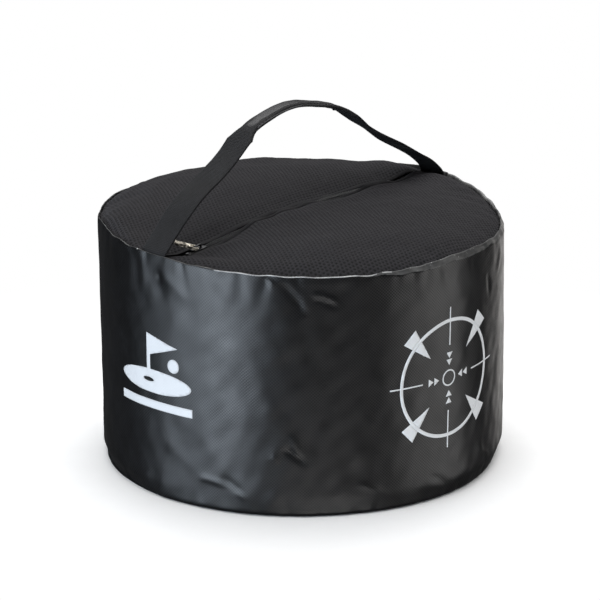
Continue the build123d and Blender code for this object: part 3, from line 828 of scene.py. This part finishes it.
# ---- the filling: a soft pad under the mesh --------------------
def padding():
    upper, lower = [], []
    az = np.linspace(-180, 180, 180, endpoint=False)
    for r in np.concatenate([np.linspace(2, 150, 38), np.linspace(154, 176, 8)]):
        ring = polar(r, az, 0)
        x, y = ring[:, 0], ring[:, 1]
        edge = smooth(150, 178, r)
        z = top_z(x, y) - 6.0 - 7.0 * bell(y, 20.0) + 0.8 * waves(x, y, 16, 30, 80, 60)
        upper.append(xyz(x, y, z - 9 * edge**2))
        lower.append(xyz(x, y, 198 + 6 * edge + 0.8 * waves(x, y, 16, 40, 90, 61)))
    between = []
    for t in (0.2, 0.5, 0.8):
        ring = upper[-1] * (1 - t) + lower[-1] * t
        ring[:, :2] *= 1 + 0.02 * math.sin(math.pi * t)
        between.append(ring)
    points = np.stack(upper + between + lower[::-1])
    return points, stack_faces(*points.shape[:2])


pad = piece("filling_pad_cloth", *padding(), "towel", ("towel",))
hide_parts("filling_top_pad")

# ---- the strap and its grip --------------------
ROUTE = [
    (-186.9, 186), (-186.9, 231.5), (-148, 271), (-104, 295), (-66, 323.5), (-15, 339.5), (47, 326),
    (96, 292), (168, 256), (186.9, 240), (186.9, 186),
]
STRAP_HALF, STRAP_T = 15.0, 1.8
FIRST_BEND, LAST_BEND = 6.0, 20.0
# the cloth stands a little above its planned line where the grip stiffens it: (x, rise)
CARRY = [
    (-190, 0), (-112, 0), (-100, 0.2), (-90, 1.0), (-80, 2.6), (-71, 3.8), (-60, 3.6), (-46, 2.4), (-30, 2.0),
    (0, 1.9), (24, 2.1), (42, 3.1), (54, 3.6), (66, 2.6), (80, 1.8), (92, 2.5), (101, 2.8), (112, 2.3), (121, 1.6),
    (130, 0.3), (140, 0), (190, 0),
]
# how far the far edge of the strap rises and the near one sinks: (x, rise)
TWIST = [(46, 0), (62, 0.8), (78, 1.9), (100, 1.4), (122, 0.4), (145, 0)]


def turned(shape, degrees):
    w = math.radians(degrees)
    x, y = np.asarray(shape, float).T
    return np.stack([x * math.cos(w) - y * math.sin(w), x * math.sin(w) + y * math.cos(w)], -1)


def rounded_route():
    """The strap's line in its upright plane: straight runs joined by arcs."""
    p = np.array(ROUTE, float)
    line = [p[:1]]
    for i in range(1, len(p) - 1):
        before, after = p[i] - p[i - 1], p[i + 1] - p[i]
        l1, l2 = np.linalg.norm(before), np.linalg.norm(after)
        d1, d2 = before / l1, after / l2
        bend = math.acos(np.clip(d1 @ d2, -1, 1))
        radius = {1: FIRST_BEND, len(p) - 2: LAST_BEND}.get(i, 0.45 * min(l1, l2) / math.tan(bend / 2))
        start = p[i] - d1 * radius * math.tan(bend / 2)
        sign = 1 if d1[0] * d2[1] - d1[1] * d2[0] > 0 else -1
        centre = start + sign * radius * np.array([-d1[1], d1[0]])
        for t in np.linspace(0, 1, 24):
            line.append(centre + turned([start - centre], math.degrees(sign * bend * t)))
    line = np.concatenate(line + [p[-1:]])
    line[:, 1] += look_up(CARRY, line[:, 0])
    return line


route = rounded_route()
route_s = lengths(route)
ROUTE_LENGTH = route_s[-1]


def on_route(s):
    """Place and upward normal at a length along the strap."""
    s = np.asarray(s, float)
    place, ahead, back = (
        np.stack([np.interp(s + step, route_s, route[:, k]) for k in (0, 1)], -1) for step in (0, 1.5, -1.5)
    )
    t = ahead - back
    t /= np.linalg.norm(t, axis=-1, keepdims=True)
    return place, np.stack([-t[..., 1], t[..., 0]], -1)


def over_route(s, y, lift):
    """Points at a length along the strap, y to its side and a lift above its line."""
    place, up = on_route(s)
    return xyz(place[..., 0] + up[..., 0] * lift, y, place[..., 1] + up[..., 1] * lift)


def s_at_x(x):
    middle = route[:, 1] > 245
    return float(np.interp(x, route[middle, 0], route_s[middle]))


GRIP_START, GRIP_END = s_at_x(-66.0), s_at_x(43.0)
RIB, BEND = 1.55, 1.1


def strap_cloth():
    """The webbing, its two edges folded under where it enters the grip."""
    s = np.arange(0, ROUTE_LENGTH, RIB / 3)
    fold = between(GRIP_START - 22, GRIP_START + 2, GRIP_END - 1, GRIP_END + 28, s)
    sides = np.linspace(-STRAP_HALF, STRAP_HALF, 31)
    flat_half = STRAP_HALF - 7.3 * fold - BEND * smooth(0, 0.25, fold)
    turn_most = math.pi * smooth(0.0, 0.55, fold)
    loose = between(40, 90, ROUTE_LENGTH - 90, ROUTE_LENGTH - 40, s)
    tilt = 0.35 * waves(s, 0 * s, 8, 30, 90, 30) * loose + look_up(TWIST, on_route(s)[0][:, 0])
    loops = []
    for layer, u in both_faces(sides):
        rib = 0.13 * np.sin(math.tau * s / RIB + (0 if layer > 0 else math.pi))
        out, sign, share = abs(u), np.sign(u), u / STRAP_HALF
        beyond = np.clip(out - flat_half, 0, None)
        angle = np.minimum(beyond / BEND, turn_most)
        rest = beyond - BEND * angle
        y = np.minimum(out, flat_half) + BEND * np.sin(angle) + rest * np.cos(angle)
        drop = BEND * (1 - np.cos(angle)) + rest * np.sin(angle)
        off = layer * (STRAP_T / 2 * (0.72 if out > 14 else 1.0) + rib)
        lift = off * np.cos(angle) - drop - 0.5 * share**2 * (1 - fold) + tilt * share
        loops.append(over_route(s, sign * (y + off * np.sin(angle)), lift))
    return tube(loops, s, np.concatenate([sides, sides[::-1] + 60, [0]]))


points, faces, uv = strap_cloth()
strap = piece("strap_webbing", points, faces, "webbing", ("webbing",), body=None, uv=uv)
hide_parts("handle_webbing", "handle_anchor_left", "handle_anchor_right")
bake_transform(strap)

# the grip: a sleeve folded round the strap, its two edges sewn flat together on the near side
GRIP_DROP = 1.2
FIN = [(-6.0, -1.2), (-7.4, -0.9), (-9.0, -0.85), (-9.5, -0.5), (-9.5, 0.5), (-9.0, 0.85), (-7.4, 0.9), (-6.0, 1.2)]


def blunt(value):
    return math.copysign(abs(value) ** 0.8, value)


def grip_sway(s):
    """How the sewn sleeve rises and dips along the strap."""
    return 0.25 * waves(s, 0 * s, 6, 40, 90, 41)


def grip_sleeve():
    s = np.arange(GRIP_START, GRIP_END + 0.01, 1.0)
    round_part = np.radians(np.linspace(150, -150, 27))
    section = np.array([(1.9 + 7.8 * blunt(math.cos(w)), 2.75 * blunt(math.sin(w))) for w in round_part] + FIN)
    close = 1 - 0.12 * smooth(4, 0, s - GRIP_START) - 0.12 * smooth(4, 0, GRIP_END - s)
    outer = []
    for v, n in section:
        puff = 1 + 0.05 * waves(s, np.full_like(s, v), 10, 12, 40, 40)
        sway = 0.25 * waves(s, 0 * s + v, 6, 40, 90, 41)
        side_y = v + 0.25 * waves(s, 0 * s, 6, 40, 100, 42)
        s_here = s + 0.16 * v * np.linspace(-1, 1, len(s))
        outer.append(over_route(s_here, side_y, n * puff * close - GRIP_DROP + sway))
    outer = np.stack(outer)
    centre = outer.mean(0, keepdims=True)
    inner = centre + (outer - centre) * 0.84
    n_sec, n_len = outer.shape[:2]
    skin = grid_faces(n_sec, n_len, True)
    faces = skin.tolist() + (skin[:, ::-1] + n_sec * n_len).tolist()
    for col, way in ((0, -1), (n_len - 1, 1)):
        for i in range(n_sec):
            a, b = i * n_len + col, (i + 1) % n_sec * n_len + col
            faces.append([a, b, b + n_sec * n_len, a + n_sec * n_len][::way])
    uv = grid_uv(s, lengths(np.concatenate([section, section[:1]])), True, False)
    return np.stack([outer, inner]), faces, np.concatenate([uv, uv, np.zeros((8 * n_sec, 2))])


points, faces, uv = grip_sleeve()
grip = piece("grip_sleeve", points, faces, "grip_leatherette", ("leatherette",), body="handle", uv=uv)
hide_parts("handle_grip")


def stitch(a, b, up, width, tall):
    """One stitch: a short thread that dives into the cloth at both ends."""
    a, b, up = np.asarray(a, float), np.asarray(b, float), np.asarray(up, float)
    side = np.cross(b - a, up)
    side /= np.linalg.norm(side)
    w = (np.arange(6) * math.tau / 6)[:, None]
    rings = []
    for t, share, high in ((0, 0.45, -0.6), (0.12, 0.85, 0.25), (0.5, 1.0, 0.6), (0.88, 0.85, 0.25), (1, 0.45, -0.6)):
        mid = a + (b - a) * t + up * high * tall
        rings.append(mid + (side * np.cos(w) + up * np.sin(w)) * width / 2 * share)
    return np.concatenate(rings)


def stitch_run(name, stitches, slot, body, finish):
    one = stack_faces(5, 6)
    faces = [[i + 30 * k for i in f] for k in range(len(stitches)) for f in one]
    return piece(name, np.concatenate(stitches), faces, slot, (finish,), body=body)


made = []
for s0 in np.arange(GRIP_START + 3, GRIP_END - 4, 4.2):
    for face in (1, -1):
        ends = s0 + np.array([0, 3.1])
        a, b = over_route(ends, -7.7, 0.94 * face - GRIP_DROP + grip_sway(ends))
        up_x, up_z = on_route(ends[1])[1] * face
        made.append(stitch(a, b, (up_x, 0, up_z), 0.75, 0.35))
grip_thread = stitch_run("grip_topstitching", made, "grip_thread", "handle", "grip_thread")
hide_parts("grip_stitching")


# ---- the zip --------------------
def above_zip(x, y, lift):
    """Points at a lift above the zip's line, square to it."""
    slope = zip_z(x + 0.5) - zip_z(x - 0.5)
    long = np.hypot(slope, 1)
    return xyz(x - slope / long * lift, y, zip_z(x) + lift / long)


def zip_tape_cloth(side):
    xs = np.arange(-185.0, 185.1, 1.0)
    ys = np.linspace(1.6, 13.6, 13)
    layers = []
    for face, y in both_faces(ys):
        sag = 0.12 * waves(xs, 0 * xs + y, 8, 14, 50, 50 + side) - 0.25 * ((y - 7) / 7) ** 2
        cord = 0.35 * bell(y - 2.4, 0.8) if face > 0 else 0
        layers.append(above_zip(xs, side * y, sag + 0.36 * face + cord))
    return tube(np.stack(layers)[::-side], xs, np.concatenate([ys, ys[::-1] + 20, [0]]))


COIL_START, COIL_END, COIL_PITCH, WIRE = -141, 122, 1.3, 0.34


def zip_coil_cloth(side):
    """A monofilament wound flat, its heads meeting the other side's at the middle."""
    t = np.arange(0, (COIL_END - COIL_START) / COIL_PITCH, 1 / 12)
    xs = COIL_START + COIL_PITCH * (t + (0.5 if side > 0 else 0))
    w = math.tau * t
    line = above_zip(xs, side * (1.55 - 1.35 * np.cos(w)), 1.1 + 0.52 * np.sin(w))
    ahead = np.gradient(line, axis=0)
    ahead /= np.linalg.norm(ahead, axis=1, keepdims=True)
    guide = np.array([1.0, 0.0, 0.0])
    a = guide - ahead * (ahead @ guide)[:, None]
    a /= np.linalg.norm(a, axis=1, keepdims=True)
    b = np.cross(ahead, a)
    ring = (np.arange(6) * math.tau / 6)[None, :, None]
    points = line[:, None] + WIRE * (np.cos(ring) * a[:, None] + np.sin(ring) * b[:, None])
    return points, stack_faces(len(line), 6)


for side, word in ((-1, "front"), (1, "back")):
    points, faces, uv = zip_tape_cloth(side)
    tape = piece(f"zip_tape_cloth_{word}", points, faces, "zip_tape", ("tape",), uv=uv)
    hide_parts(f"zip_tape_{word}")
    coil = piece(f"zip_coil_wound_{word}", *zip_coil_cloth(side), "zip_coil", ("coil",))
    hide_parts(f"zip_coil_{word}")

# the pull tab: a cast plate with an eye at the slider and a round hole at its tip
PULL = Vector((-134.748, 0.0, 224.869))
RISE, ROLL = math.radians(22), math.radians(24)
along = Vector((-math.cos(RISE), 0, math.sin(RISE)))
upright = Vector((math.sin(RISE), 0, math.cos(RISE)))
sideways = Vector((0, 1, 0))
across = sideways * math.cos(ROLL) + upright * math.sin(ROLL)
above = upright * math.cos(ROLL) - sideways * math.sin(ROLL)
TAB_THICK, TAB_TIP = 2.4, 25.6


def tab_outline():
    w = np.radians(np.linspace(132, 0, 15))
    tip = np.stack([TAB_TIP + 3.4 * np.cos(w), 3.4 * np.sin(w)], -1)
    upper = np.concatenate([[(-0.9, 2.8), (8.0, 3.1), (10.5, 2.6), (20.5, 2.5)], tip])
    return np.concatenate([upper, upper[-2::-1] * (1, -1)])


EYE = [(0.75, -1.7), (6.6, -1.7), (7.6, -0.9), (7.6, 0.9), (6.6, 1.7), (0.75, 1.7)]
flat, tris = filled([tab_outline(), EYE, ring_loop(1.2, 20, (TAB_TIP, 0))], 1.2)
points = [PULL + along * u + across * v + above * (TAB_THICK / 2) for u, v in flat]
way = -1 if along.cross(across).dot(above) < 0 else 1
tab = piece("pull_tab_cast", points, tris[:, ::way], "pull_metal", ("pull_metal",), body="zip_pull")
thicken(tab, TAB_THICK)
ease(tab, 0.35, 3, 40)
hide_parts("zip_pull_tab")

# parts that keep their CAD shape; the metal ones lose their sharp edges
KEPT = {
    "zip_slider_body": "zip_metal", "zip_slider_bail": "zip_metal", "zip_top_stops": "zip_metal",
    "zip_bottom_stop": "zip_metal", "side_seam_tape": "binding", "bottom_seam_binding": "binding",
    "bottom_seam_stitching": "thread", "handle_bar_tacks": "thread",
}
for node, key in KEPT.items():
    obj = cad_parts[node]
    obj.data.materials.clear()
    obj.data.materials.append(M[key])
    if key == "zip_metal":
        ease(obj, 0.22, 2, 35)


# ---- seams and base --------------------
made = []
for az in np.arange(-180, 180, 1.62):
    if near_strap(az) <= 0.5:
        ends = az + np.array([0, 1.15])
        r = RADIUS - CLOTH + 0.5 * wall_lift(ends, rim_z(ends) - 30) - 0.3
        a, b = polar(r, ends, rim_z(ends) - 12.5)
        made.append(stitch(a, b, polar(-1, ends[1], 0), 0.8, 0.4))
seam_thread = stitch_run("top_seam_thread", made, "thread", "shell", "thread")
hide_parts("top_seam_stitching")


def base_cloth():
    radii = np.concatenate([[0.6], np.linspace(8, 150, 24), np.linspace(155, 178.8, 12)])
    n = 300
    az = np.linspace(-180, 180, n, endpoint=False)
    under = []
    for r in radii:
        ring = polar(r, az, 0)
        swell = 0.5 * (1 + waves(ring[:, 0], ring[:, 1], 20, 40, 120, 70)) / 2
        pleats = 0.35 * smooth(120, 176, r) * (1 + around(az, 20, 70, 71))
        ring[:, 2] = np.maximum((0.25 + swell + pleats) * (1 - 0.6 * smooth(172, 179, r)), 0.05)
        under.append(ring)
    under = np.stack(under)
    points = np.concatenate([under, under[::-1] + (0, 0, 1.4)])[::-1]
    reach = np.concatenate([radii, radii[::-1] + 400])[::-1]
    corner_r = np.stack([reach[:-1], reach[:-1], reach[1:], reach[1:]], -1)[:, None]
    w = np.radians(az)
    corner_a = np.stack([w, w + math.tau / n, w + math.tau / n, w], -1)[None]
    uv = np.stack([corner_r * np.sin(corner_a), corner_r * np.cos(corner_a)], -1).reshape(-1, 2)
    return points, stack_faces(len(points), n), np.concatenate([uv, np.zeros((2 * n, 2))])


points, faces, uv = base_cloth()
base = piece("base_cloth", points, faces, "coated_fabric", ("fabric",), uv=uv)
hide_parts("bottom_panel")


# ---- the filling: rolled towels --------------------
TOWELS, TOWEL_TURNS, TOWEL_THICK, TOWEL_CORE = 7, 8.2, 5.2, 5.0


def towel_roll(number):
    low, high = (np.array(corner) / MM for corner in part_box(f"towel_roll_{number}"))
    centre = (low + high) / 2
    outer_r = (high[0] - low[0]) / 2 - 1.2
    z0, z1 = low[2] + 0.5, high[2] - 1.5
    t = np.linspace(0, 1, 330)
    w = t * TOWEL_TURNS * math.tau + number * 1.1
    mid = TOWEL_CORE + (outer_r - TOWEL_THICK / 2 - TOWEL_CORE) * t
    frill = 1.1 * waves(w * 20, 0 * w, 8, 40, 160, 90 + number)
    shares = np.concatenate([[0], np.linspace(0.02, 0.98, 9), [1]])
    loops = []
    for layer, share in both_faces(shares):
        pinch = 0.45 if share in (0, 1) else 1.0
        bump = 0.35 * waves(w * 20, share * 180 + 0 * w, 14, 12, 50, 80 + number)
        r = mid + layer * (TOWEL_THICK / 2) * pinch + bump * (1 if layer < 0 else 0.6)
        z = np.minimum(z0 + (z1 - z0) * share + frill * (share > 0.5), z1)
        loops.append(xyz(centre[0] + r * np.cos(w), centre[1] + r * np.sin(w), z))
    towel = piece(f"rolled_towel_{number}", loops, tube_faces(len(loops), len(t)), "towel", ("towel",))
    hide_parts(f"towel_roll_{number}")


for number in range(TOWELS):
    towel_roll(number)


# ---- prints on the wall --------------------
RING_OUT, RING_IN, PRINT_GAP = 56.9, 53.6, 0.05
PRINT_RISE, PRINT_DEPTH = 0.22, 0.32
WEDGE_TIP, WEDGE_END, WEDGE_HALF = 33.0, 67.5, 8.8


def wrapped_print(name, shapes, az0, z0, finish, node, laid=None):
    """Flat shapes, each a list of loops in mm, laid on the wall's own surface."""
    points, faces, start = [], [], 0
    for loops in shapes:
        flat, tris = trimmed(*filled(loops, 2.0, 2.5))
        points.append(flat)
        faces.append(tris + start)
        start += len(flat)
    flat, faces = np.concatenate(points), np.concatenate(faces)
    if laid:
        flat = laid(flat)
    az = az0 + np.degrees(flat[:, 0] / RADIUS)
    z = z0 + flat[:, 1]
    points = polar(RADIUS + wall_lift(az, z) + PRINT_RISE, az, z)
    uv = np.stack([np.radians(az + 180) * RADIUS, z], -1)[faces.ravel()]
    obj = piece(name, points, faces, f"{finish}_ink", (finish,), uv=uv)
    thicken(obj, PRINT_DEPTH)
    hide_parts(node)


def arc_edge(radius, half):
    """The end of a shape cut to a circle, from -half to +half across."""
    return [(radius * math.cos(k), radius * math.sin(k)) for k in np.linspace(-1, 1, 7) * math.asin(half / radius)]


def bar(start, end, half=0.62):
    """A rule along +X, its ends cut to the ring's circles where they meet it."""
    near = arc_edge(start, half)[::-1] if start > RING_OUT else [(start, half), (start, -half)]
    return near + (arc_edge(end, half) if end < RING_IN else [(end, -half), (end, half)])


def wedge_width(radius):
    """Half the width of a diagonal wedge at a radius."""
    return WEDGE_HALF * (radius - WEDGE_TIP) / (WEDGE_END - WEDGE_TIP)


def skewed(flat):
    """The target went on to the cloth a little skewed and bowed."""
    u, v = flat.T
    return np.stack([u + 0.028 * v - 3.2 * (1 - (u / 62) ** 2), 0.972 * v + 0.02 * u], -1)


# one quarter of the target: (shape, its turn in degrees)
QUARTER = [
    (bar(31.5, RING_IN - PRINT_GAP), 0),
    (bar(RING_OUT + PRINT_GAP, 68), 0),
    *(([(tip, 0), (tip + 5.6, -3.6), (tip + 5.6, 3.6)], 0) for tip in (19.0, 12.2)),
    ([(WEDGE_TIP, 0)] + arc_edge(RING_IN - PRINT_GAP, wedge_width(RING_IN)), 45),
    (
        arc_edge(RING_OUT + PRINT_GAP, wedge_width(RING_OUT))[::-1]
        + [(WEDGE_END, -WEDGE_HALF), (WEDGE_END, WEDGE_HALF)],
        45,
    ),
]
target = [[ring_loop(RING_OUT, 140), ring_loop(RING_IN, 140)], [ring_loop(7.9, 40), ring_loop(6.6, 40)]]
for quarter in range(4):
    target += [[turned(shape, 90 * quarter + turn)] for shape, turn in QUARTER]
wrapped_print("printed_target", target, -0.5, 115.5, "target", "target_print", skewed)

# a green with its hole, a ball, a flag on its stick and a rule below
badge = [
    [ring_loop(45, 90, (0, -9), 11 / 45), ring_loop(7, 36, (-6, -8), 2 / 7)],
    [ring_loop(6.5, 40, (25, 10))],
    [[(-8, -3), (-3.5, -3), (-3.5, 16), (30, 27), (-8, 36)]],
    [[(-46, -35), (46, -35), (46, -27), (-46, -27)]],
]
wrapped_print("printed_badge", badge, -90.0, 120.0, "badge", "badge_print")


# ---- floor, light and camera --------------------
CAMERA = Vector((-1.744, -1.714, 0.897))
CAMERA_PITCH, CAMERA_HEADING = math.radians(17.07), (0.713, 0.701)
camera_az = math.degrees(math.atan2(CAMERA.x, -CAMERA.y))


def paper():
    s = Shader("floor_paper", Roughness=0.9, IOR=1.3)
    s.colour(s.noise(40), (0.87, 0.87, 0.87), (0.9, 0.9, 0.9))
    # the paper brightens towards its edge, so that it runs into the white behind it
    spot = s.node("ShaderNodeSeparateXYZ", Vector=s.place())
    square = s.math("ADD", *(s.times(spot.outputs[k], spot.outputs[k]) for k in (0, 1)))
    glow = s.node("ShaderNodeEmission", Strength=1.02)
    blend = s.node("ShaderNodeMixShader", Fac=s.ramp(s.math("SQRT", square), a=0.24, b=0.4))
    s.put(blend, 1, s.bsdf.outputs[0])
    s.put(blend, 2, glow.outputs[0])
    s.put(s.tree.nodes["Material Output"], "Surface", blend.outputs[0])
    return s.material


FLOOR_TURNS = 128
reach, w = np.meshgrid(
    np.concatenate([[0.002], np.linspace(0.05, 0.6, 14), [0.605]]),
    np.linspace(0, math.tau, FLOOR_TURNS, endpoint=False), indexing="ij",
)
points = xyz(reach * np.cos(w), reach * np.sin(w), np.where(reach > 0.602, -0.006, 0.0)).reshape(-1, 3)
faces = grid_faces(len(reach), FLOOR_TURNS, False, True).tolist() + [list(range(FLOOR_TURNS))[::-1]]
floor_mesh = bpy.data.meshes.new("floor")
floor_mesh.from_pydata(points.tolist(), [], faces)
floor_mesh.flip_normals()
floor_mesh.materials.append(paper())
floor = placed(bpy.data.objects.new("floor", floor_mesh))
# the low softboxes stand below the floor's level, so the paper neither mirrors in the gloss nor shades them
floor.visible_glossy = False
floor.visible_shadow = False

world = bpy.data.worlds.new("studio")
bpy.context.scene.world = world
world.use_nodes = True
nodes, links = world.node_tree.nodes, world.node_tree.links
path = nodes.new("ShaderNodeLightPath")


def backdrop(node, strength):
    node.inputs["Strength"].default_value = strength
    node.inputs["Color"].default_value = (1, 1, 1, 1)
    return node.outputs[0]


def seen_by(ray, others, these):
    """One light for the rays of a kind, another for the rest."""
    mixer = nodes.new("ShaderNodeMixShader")
    for index, output in enumerate((path.outputs[ray], others, these)):
        links.new(output, mixer.inputs[index])
    return mixer.outputs[0]


around_it = backdrop(nodes["Background"], 0.12)
mirrored = backdrop(nodes.new("ShaderNodeBackground"), 0.05)
behind_it = backdrop(nodes.new("ShaderNodeBackground"), 1.0)
sky = seen_by("Is Camera Ray", seen_by("Is Glossy Ray", around_it, mirrored), behind_it)
links.new(sky, nodes["World Output"].inputs["Surface"])


def aimed(obj, place, forward):
    obj.location = place
    obj.rotation_euler = forward.to_track_quat("-Z", "Y").to_euler()


def softbox(name, bearing, distance, height, width, tall, power, colour=(1, 1, 1), aim=0.1):
    """A rectangular light at a bearing from the camera's own, facing the object."""
    w = math.radians(camera_az + bearing)
    light = bpy.data.lights.new(name, "AREA")
    light.shape = "RECTANGLE"
    light.size, light.size_y = width, tall
    light.energy = power
    light.color = colour
    obj = placed(bpy.data.objects.new(name, light))
    place = Vector((distance * math.sin(w), -distance * math.cos(w), height))
    aimed(obj, place, Vector((0, 0, aim)) - place)
    obj.visible_camera = False


softbox("left_box", -50, 2.0, -0.02, 2.0, 1.32, 52, (0.77, 0.88, 1.0))
softbox("left_core", -43, 1.95, -0.2, 0.8, 0.6, 9, (0.8, 0.89, 1.0))
softbox("right_box", 74, 2.0, -0.2, 1.7, 1.5, 18, (1.0, 0.99, 0.98))
softbox("rim_box", 150, 2.0, 0.0, 0.7, 1.3, 3.4, (1.0, 0.97, 0.94))
softbox("front_low", 12, 2.0, -1.15, 1.8, 0.6, 12, (1.0, 0.99, 0.98))
softbox("back_top", 175, 1.7, 2.2, 2.6, 1.4, 30, aim=0.15)
softbox("ceiling", 0, 0.05, 3.4, 5.0, 5.0, 220, aim=0.15)

camera_data = bpy.data.cameras.new("camera")
camera_data.lens = 162.02
camera_data.sensor_width = 36.0
camera_data.clip_end = 60
camera = placed(bpy.data.objects.new("camera", camera_data))
aimed(camera, CAMERA, Vector((*(k * math.cos(CAMERA_PITCH) for k in CAMERA_HEADING), -math.sin(CAMERA_PITCH))))
bpy.context.scene.camera = camera
bpy.context.scene.view_settings.view_transform = "Standard"

bpy.context.view_layer.update()
